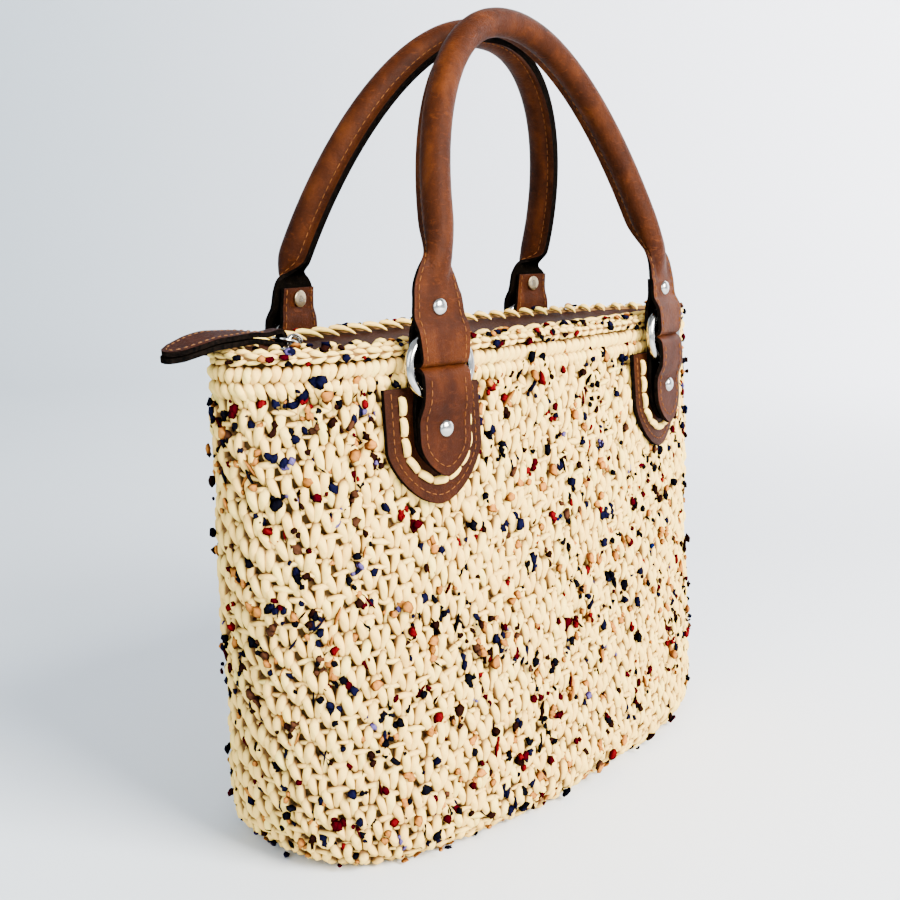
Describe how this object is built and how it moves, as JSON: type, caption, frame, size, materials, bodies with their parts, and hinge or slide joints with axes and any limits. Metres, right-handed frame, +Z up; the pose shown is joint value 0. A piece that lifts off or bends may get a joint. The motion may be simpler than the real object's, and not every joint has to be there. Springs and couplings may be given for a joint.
{
  "type": "handbag",
  "caption": "Crocheted oval handbag with a zipped leather-edged mouth and rolled leather handles hung on metal rings over riveted tabs and patches",
  "frame": {"origin": "middle of the flat base", "axes": "X along the bag's width, the front face looks to -Y, +Z up"},
  "size_m": [0.3436, 0.125, 0.3451],
  "materials": {
    "cream_yarn": "crocheted thick cream yarn with dark and red slubs",
    "rim_yarn": "braided crochet edge",
    "panel_leather": "matt dusty brown",
    "zip_black": "black zip",
    "zip_metal": "bright nickel",
    "pull_leather": "waxed brown with black painted edges",
    "handle_leather": "pull-up leather, mottled, black painted edges",
    "tab_leather": "pull-up leather, black painted edges",
    "patch_leather": "pull-up leather, black painted edges",
    "bright_metal": "polished nickel",
    "rivet_metal": "polished nickel"
  },
  "bodies": {
    "root": {"body_shell": "cream_yarn", "rim_braid": "rim_yarn", "zip_panel_front": "panel_leather", "zip_panel_back": "panel_leather", "zip_chain": "zip_black", "zip_slider": "zip_metal", "zip_ring": "zip_metal", "zip_pull_tab": "pull_leather", "handle_front": "handle_leather", "handle_back": "handle_leather", "ring_front_left": "bright_metal", "tab_front_left": "tab_leather", "patch_front_left": "patch_leather", "tab_rivet_front_left": "rivet_metal", "handle_rivet_front_left": "rivet_metal", "ring_front_right": "bright_metal", "tab_front_right": "tab_leather", "patch_front_right": "patch_leather", "tab_rivet_front_right": "rivet_metal", "handle_rivet_front_right": "rivet_metal", "ring_back_left": "bright_metal", "tab_back_left": "tab_leather", "patch_back_left": "patch_leather", "tab_rivet_back_left": "rivet_metal", "handle_rivet_back_left": "rivet_metal", "ring_back_right": "bright_metal", "tab_back_right": "tab_leather", "patch_back_right": "patch_leather", "tab_rivet_back_right": "rivet_metal", "handle_rivet_back_right": "rivet_metal"}
  },
  "joints": []
}
